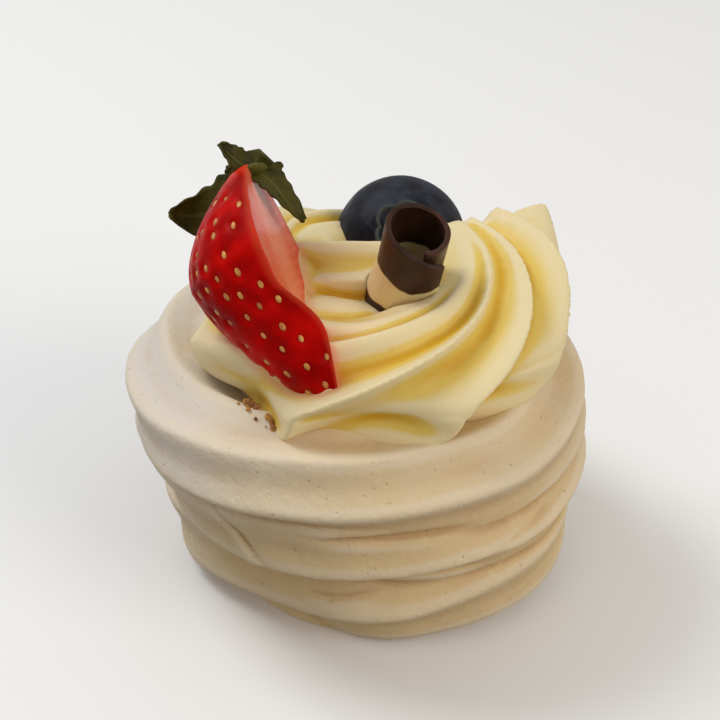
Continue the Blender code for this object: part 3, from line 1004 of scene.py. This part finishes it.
def makeCurl(material):
    steps, rows = 170, 90
    bm = bmesh.new()
    band = bm.verts.layers.float.new("band")
    walls = []
    for inner in (0, curl["sheet"]):
        lines = []
        for i in range(steps + 1):
            angle = (360 + curl["overlap"]) * i / steps
            towards = curl["seam"] + angle
            tuck = (curl["sheet"] + curl["gap"]) * (1 - smooth(0, 80, angle - curl["overlap"]))
            ragged = curl["ragged"] * slowNoise((angle / 25, 0, 0), 3)
            top = curl["length"] - curl["slant"] * math.cos(math.radians(towards)) + ragged
            top -= curl["notch"] * smooth(330, 400, angle)
            foot = 0.2 * mm * slowNoise((angle / 20, 5, 0), 6)
            line = []
            for j in range(rows + 1):
                height = mix(foot, top, j / rows)
                level = height / curl["length"]
                soft = 0.05 * mm * slowNoise((angle / 40, height * 400, inner), 8)
                spread = curl["spread"] * bump(towards, 205, 45) * (1 - smooth(0.3, 0.62, level))
                radius = curl["radius"] - tuck - inner + soft + spread
                vert = bm.verts.new(outward(towards) * radius + up * height)
                vert[band] = bandShare(angle, towards, level)
                line.append(vert)
            lines.append(line)
        walls.append(lines)
    outer, inside = walls
    for i in range(steps):
        for j in range(rows):
            bm.faces.new((outer[i][j], outer[i + 1][j], outer[i + 1][j + 1], outer[i][j + 1]))
            bm.faces.new((inside[i + 1][j], inside[i][j], inside[i][j + 1], inside[i + 1][j + 1]))
        for j in (0, rows):
            bm.faces.new((outer[i][j], outer[i + 1][j], inside[i + 1][j], inside[i][j]))
    for j in range(rows):
        for i in (0, steps):
            bm.faces.new((outer[i][j], outer[i][j + 1], inside[i][j + 1], inside[i][j]))
    place = Matrix.Translation(curl["middle"]) @ facing(curl["axis"], Vector((1, 0, 0)))
    place = place @ Matrix.Translation((0, 0, -curl["length"] / 2))
    bmesh.ops.transform(bm, matrix=place, verts=bm.verts)
    roll = addObject("chocolateRoll", meshFrom("chocolateRoll", bm), material)
    rounded = roll.modifiers.new("soft edges", "BEVEL")
    rounded.width = 0.16 * mm
    rounded.segments = 2
    rounded.limit_method = "ANGLE"
    return settled(roll)


# materials

class Paint:
    # a Principled material with a few short ways to build its patterns; lengths are in metres
    def __init__(self, name, red, green, blue):
        self.material = bpy.data.materials.new(name)
        self.material.use_nodes = True
        self.tree = self.material.node_tree
        self.shader = self.tree.nodes["Principled BSDF"]
        self.place = self.tree.nodes.new("ShaderNodeTexCoord").outputs["Object"]
        self.coat = linear(red, green, blue)
        self.shader.inputs["Base Color"].default_value = self.coat

    def over(self, share, red, green, blue):
        # lays a colour over the ones before it; inputs 6 and 7 are the colours to mix
        self.coat = addNode(self.tree, "ShaderNodeMix", {
            "Factor": share, 6: self.coat, 7: linear(red, green, blue)}, data_type="RGBA").outputs[2]
        join(self.tree, self.coat, self.shader.inputs["Base Color"])

    def set(self, **values):
        for label, value in values.items():
            self.shader.inputs[label.replace("_", " ")].default_value = value

    def attribute(self, name):
        node = addNode(self.tree, "ShaderNodeAttribute", attribute_name=name)
        return Calc(self.tree, node.outputs["Fac"])

    def cloud(self, size, detail=3, roughness=0.5, stretch=None):
        # soft noise from 0 to 1 with lumps about this big
        place = self.place
        if stretch:
            place = addNode(self.tree, "ShaderNodeMapping", {"Vector": place, "Scale": stretch}).outputs[0]
        node = addNode(self.tree, "ShaderNodeTexNoise", {
            "Vector": place, "Scale": 1 / size, "Detail": detail, "Roughness": roughness})
        return Calc(self.tree, node.outputs[0])

    def grains(self, size):
        # distance from scattered points, 0 at each point
        node = addNode(self.tree, "ShaderNodeTexVoronoi", {"Vector": self.place, "Scale": 1 / size})
        return Calc(self.tree, node.outputs["Distance"])

    def axes(self):
        split = addNode(self.tree, "ShaderNodeSeparateXYZ", {0: self.place})
        return [Calc(self.tree, output) for output in split.outputs]

    def near(self, point, reach):
        # 1 at a point, falling to 0 at reach
        away = addNode(self.tree, "ShaderNodeVectorMath", {0: self.place, 1: point}, operation="DISTANCE")
        return Calc(self.tree, away.outputs["Value"]).between(0, reach, 1, 0)

    def bumps(self, *layers):
        # each layer is a height from 0 to 1 and how deep it is
        normal = None
        for height, depth in layers:
            layer = addNode(self.tree, "ShaderNodeBump", {
                "Strength": 1, "Distance": depth, "Height": height})
            if normal:
                join(self.tree, normal, layer.inputs["Normal"])
            normal = layer.outputs[0]
        join(self.tree, normal, self.shader.inputs["Normal"])

    def rough(self, source):
        join(self.tree, source, self.shader.inputs["Roughness"])


def meringueMaterial():
    paint = Paint("bakedMeringue", 228, 219, 206)
    x, y, z = paint.axes()
    # warmer low down and towards the front and right: partly real toasting, partly painted shade on the
    # side turned away from the light
    toastAndShade = (z * -1).between(-0.034, -0.004) * 0.55 + (x - y).between(-0.02, 0.035) * 0.7
    paint.over((toastAndShade + paint.cloud(0.012, 2) * 0.5 - 0.25).between(0, 1), 222, 196, 150)
    hollow = paint.attribute("hollow")
    # painted shade: darker and browner in the creases
    paint.over(hollow.between(0.5, 0.12) * 0.85, 190, 154, 108)
    # painted light: paler on the crests
    paint.over(hollow.between(0.53, 0.70) * 0.5, 236, 222, 198)
    paint.over(paint.cloud(0.0016, 4).between(0.56, 0.8) * 0.35, 238, 222, 190)
    paint.over(paint.grains(0.0031).between(0.1, 0.02) * 0.5, 170, 128, 84)
    paint.rough(paint.cloud(0.001, 3).between(0.2, 0.8, 0.62, 0.85))
    paint.bumps(
        (paint.cloud(0.0045, 3, 0.55), 0.00035),
        (paint.cloud(0.0007, 4, 0.6), 0.00008),
        (paint.grains(0.0016).between(0.03, 0.16), 0.00008))
    paint.set(Subsurface_Weight=0.12, Subsurface_Radius=(0.0015, 0.001, 0.0006), Specular_IOR_Level=0.25)
    return paint.material


def creamMaterial():
    # pale on the crests, partly painted light; the grooves are painted darker and deeper yellow as shade
    paint = Paint("vanillaCream", 236, 219, 172)
    hollow = paint.attribute("hollow")
    paint.over(hollow.between(0.62, 0.40), 228, 198, 96)
    paint.over((hollow + paint.cloud(0.006, 2) * 0.3 - 0.15).between(0.40, 0.10), 212, 164, 28)
    fleck = nest["middle"] + Vector(cream["fleck"]) * mm
    paint.over(paint.near(fleck, 0.0035) * paint.cloud(0.002, 3).between(0.35, 0.6), 214, 168, 20)
    # pinker where the cream lies close to the strawberry
    berryNearness = paint.attribute("berryNearness")
    paint.over((berryNearness * 0.8 + paint.cloud(0.003, 2) * 0.3 - 0.15).between(0.25, 0.9) * 0.6, 236, 168, 138)
    paint.rough(paint.cloud(0.0015, 3).between(0.2, 0.8, 0.38, 0.55))
    paint.bumps((paint.cloud(0.003, 3), 0.00012), (paint.cloud(0.0005, 3), 0.00003))
    paint.set(Subsurface_Weight=0.25, Subsurface_Radius=(0.002, 0.0014, 0.0006), Specular_IOR_Level=0.4)
    return paint.material


def skinMaterial():
    paint = Paint("strawberrySkin", 150, 1, 1)
    paint.over(paint.cloud(0.006, 3).between(0.3, 0.75), 214, 10, 5)
    # painted shade: darker red in the dimples round the seeds
    paint.over(paint.attribute("dimple").between(0.35, 1) * 0.5, 150, 1, 1)
    # a painted highlight: paler orange-red near the stalk end
    shoulderHighlight = paint.near(strawberry["place"] @ Vector((0, 0, strawberry["length"])), 0.009)
    paint.over(shoulderHighlight * paint.cloud(0.003, 2).between(0.3, 0.7), 226, 84, 52)
    paint.over(paint.attribute("rim").between(0.93, 1.0) * 0.4, 226, 84, 52)
    paint.rough(paint.cloud(0.002, 2).between(0.2, 0.8, 0.3, 0.45))
    paint.bumps((paint.cloud(0.0012, 3), 0.00005))
    paint.set(Subsurface_Weight=0.1, Subsurface_Radius=(0.002, 0.0004, 0.0002), Specular_IOR_Level=0.04)
    return paint.material


def fleshMaterial():
    # lighter towards the stalk, with a pale core and threads and a red edge
    paint = Paint("strawberryFlesh", 222, 48, 28)
    stalk = strawberry["place"] @ Vector((0, 0, strawberry["length"] * 0.95))
    paint.over(paint.near(stalk, 0.026), 242, 102, 72)
    paint.over(paint.attribute("core") * 0.45, 246, 160, 124)
    paint.over(paint.attribute("streak") * 0.4, 246, 150, 114)
    paint.over(paint.attribute("rim").between(1.12, 1.0) * 0.8, 214, 36, 22)
    paint.over(paint.cloud(0.0022, 3).between(0.4, 0.75) * 0.3, 222, 84, 60)
    paint.bumps((paint.cloud(0.0009, 3), 0.00008))
    paint.set(Roughness=0.3, Subsurface_Weight=0.2, Subsurface_Radius=(0.003, 0.001, 0.0006),
              Specular_IOR_Level=0.2, Coat_Weight=0.05, Coat_Roughness=0.15)
    return paint.material


def seedMaterial():
    paint = Paint("strawberrySeed", 226, 168, 84)
    paint.over(paint.cloud(0.002, 1).between(0.35, 0.65), 188, 104, 44)
    paint.bumps((paint.cloud(0.0002, 2), 0.00002))
    paint.set(Roughness=0.35)
    return paint.material


def leafMaterial():
    paint = Paint("sepalGreen", 50, 50, 12)
    paint.over(paint.cloud(0.0025, 3).between(0.3, 0.7), 80, 74, 22)
    rib = paint.attribute("rib")
    middle = (rib * rib).between(0.03, 0.0)
    paint.over(middle * 0.5, 104, 104, 48)
    paint.bumps((paint.cloud(0.0008, 3), 0.0001), (middle, 0.00012))
    paint.set(Roughness=0.5, Specular_IOR_Level=0.15)
    return paint.material


def blueberryMaterial():
    paint = Paint("blueberrySkin", 22, 23, 29)
    bloom = paint.cloud(0.0055, 4, 0.6).between(0.38, 0.72)
    paint.over(bloom, 56, 60, 71)
    paint.over(paint.attribute("crown").between(0.35, 0.9), 70, 74, 72)
    paint.rough(bloom.between(0, 1, 0.35, 0.65))
    paint.bumps((paint.cloud(0.0018, 3), 0.00006), (paint.cloud(0.0004, 2), 0.00002))
    paint.set(Specular_IOR_Level=0.12)
    return paint.material


def chocolateMaterial():
    paint = Paint("rolledChocolate", 46, 26, 18)
    paint.over(paint.cloud(0.004, 3).between(0.35, 0.7), 70, 44, 32)
    paint.over(paint.attribute("band") * paint.cloud(0.003, 2).between(0.1, 0.4, 0.8, 1), 220, 206, 156)
    paint.rough(paint.cloud(0.002, 3).between(0.2, 0.8, 0.3, 0.5))
    paint.bumps((paint.cloud(0.0012, 3, 0.5, (1, 1, 0.25)), 0.00006))
    paint.set(Specular_IOR_Level=0.2)
    return paint.material


def crumbMaterial():
    paint = Paint("toastedCrumb", 198, 142, 66)
    paint.over(paint.cloud(0.0008, 2).between(0.35, 0.65), 134, 84, 32)
    paint.bumps((paint.cloud(0.0004, 3), 0.00008))
    paint.set(Roughness=0.6)
    return paint.material


# crumbs of toasted meringue: lumps of unlike size dropped on marked spots

def crumbTree():
    tree, given, result = newTree("crumbScatter", {
        "Points": "Object", "Crumb Size": 0.0006, "Material": "Material"})
    scale = Calc(tree, namedAttribute(tree, "size", "FLOAT")) * Calc(tree, given.outputs["Crumb Size"])
    turn = addNode(tree, "FunctionNodeRandomValue", {"Seed": 11}, data_type="FLOAT_VECTOR")
    turn.inputs[1].default_value = (math.tau,) * 3
    copies = scatter(tree, given, 3, turn.outputs[0], scale)
    real = addNode(tree, "GeometryNodeRealizeInstances", {0: copies})
    cloud = addNode(tree, "ShaderNodeTexNoise", {"Scale": 1 / (1.2 * mm)})
    push = (Calc(tree, cloud.outputs[0]) - 0.5) * (1.2 * mm)
    offset = addNode(tree, "ShaderNodeVectorMath", {
        0: tree.nodes.new("GeometryNodeInputNormal").outputs[0], "Scale": push}, operation="SCALE")
    ragged = addNode(tree, "GeometryNodeSetPosition", {
        "Geometry": real.outputs[0], "Offset": offset.outputs[0]})
    return finishTree(tree, given, result, ragged.outputs[0])


crumbs = dict(
    size=0.55 * mm,
    # direction from the middle, distance from it, size: dropped straight down on what lies there
    drops=((231.5, 23.4, 1.1), (233.5, 23.6, 1.3), (236.0, 23.5, 1.0), (234.8, 24.5, 0.8),
           (230.5, 24.4, 0.5), (242.0, 24.4, 0.8), (244.0, 24.9, 0.9), (245.2, 25.4, 0.6),
           (243.2, 25.6, 0.35), (239.0, 25.2, 0.3)),
)


def makeCrumbs(shell, material):
    ground = searchTree(shell)
    places, sizes = [], []
    for angle, reach, size in crumbs["drops"]:
        start = nest["middle"] + outward(angle) * (reach * mm) + up * 0.1
        places.append(ground.ray_cast(start, -up)[0] + up * 0.2 * mm)
        sizes.append(size)
    return scattered("toastedCrumbs", places, {"size": ("FLOAT", "value", sizes)}, crumbTree(), {
        "Crumb Size": crumbs["size"], "Material": material})


# stage, light and camera

studio = dict(
    floor=(246, 246, 246),
    floorRadius=3.0,
    floorGap=0.2 * mm,
    low=(0.24, 0.205, 0.165, 1),    # the sky well below and well above the horizon
    high=(0.50, 0.495, 0.49, 1),
    aim=Vector((0, 0, 0.03)),
    lamps=(
        dict(name="window", place=(-0.40, 0.12, 0.62), size=0.30, power=2.2, tint=(0.96, 0.985, 1)),
        dict(name="roomLight", place=(0.56, -0.40, 0.42), size=0.45, power=2.2, tint=(1, 0.92, 0.80)),
    ),
)


def makeStage():
    bm = bmesh.new()
    bmesh.ops.create_circle(bm, cap_ends=True, segments=128, radius=studio["floorRadius"])
    paint = Paint("paleFloor", *studio["floor"])
    paint.set(Roughness=0.9, Specular_IOR_Level=0.1)
    floor = addObject("floor", meshFrom("floor", bm), paint.material)
    floor.location.z = -studio["floorGap"]
    floor.visible_diffuse = False    # the pale floor would light the undersides too much


def makeLight():
    scene = bpy.context.scene
    scene.world = bpy.data.worlds.new("studio")
    scene.world.use_nodes = True
    tree = scene.world.node_tree
    direction = tree.nodes.new("ShaderNodeTexCoord").outputs["Generated"]
    upwards = Calc(tree, addNode(tree, "ShaderNodeSeparateXYZ", {0: direction}).outputs[2])
    ramp = addNode(tree, "ShaderNodeMix", {
        "Factor": upwards.between(-0.5, 0.5), 6: studio["low"], 7: studio["high"]}, data_type="RGBA")
    join(tree, ramp.outputs[2], tree.nodes["Background"].inputs["Color"])
    for lamp in studio["lamps"]:
        light = bpy.data.lights.new(lamp["name"], "AREA")
        light.size, light.energy, light.color = lamp["size"], lamp["power"], lamp["tint"]
        ob = addObject(lamp["name"], light)
        ob.location = lamp["place"]
        ob.rotation_euler = (studio["aim"] - ob.location).to_track_quat("-Z", "Y").to_euler()
    scene.view_settings.view_transform = "Standard"


view = dict(
    place=nest["middle"] + Vector((1.0, -201.6, 160.2)) * mm,
    lens=84.0,
    lean=3.06,    # degrees that the camera is turned about its own line of sight
)


def makeCamera():
    camera = bpy.data.cameras.new("camera")
    camera.lens = view["lens"]
    camera.sensor_width = 36
    camera.clip_start = 0.01
    ob = addObject("camera", camera)
    low, high = cadBounds
    target = (Vector(low) + Vector(high)) / 2
    aim = (target - view["place"]).to_track_quat("-Z", "Y").to_matrix().to_4x4()
    lean = Matrix.Rotation(math.radians(view["lean"]), 4, "Z")
    ob.matrix_world = Matrix.Translation(view["place"]) @ aim @ lean
    bpy.context.scene.camera = ob


def enter(piece, node):
    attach(piece, "root")
    if node:
        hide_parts(node)


def build():
    makeCamera()
    makeStage()
    makeLight()
    print("stage ready")
    shell = makeNest(meringueMaterial())
    print("nest piped:", len(shell.data.polygons))
    half, spots = makeStrawberry(skinMaterial(), fleshMaterial())
    seeds = makeSeeds(spots, seedMaterial())
    green = makeLeaves(leafMaterial())
    print("strawberry cut:", len(spots), "seeds")
    swirl = makeCream(creamMaterial(), half)
    print("cream piped:", len(swirl.data.polygons))
    berry = makeBlueberry(blueberryMaterial())
    roll = makeCurl(chocolateMaterial())
    bits = makeCrumbs(shell, crumbMaterial())
    print("blueberry, curl and crumbs laid")
    enter(shell, "meringue")
    enter(swirl, "cream")
    enter(half, "strawberry")
    enter(seeds, None)
    enter(green, "strawberry_leaves")
    enter(berry, "blueberry")
    enter(roll, "chocolate_curl")
    enter(bits, None)


build()
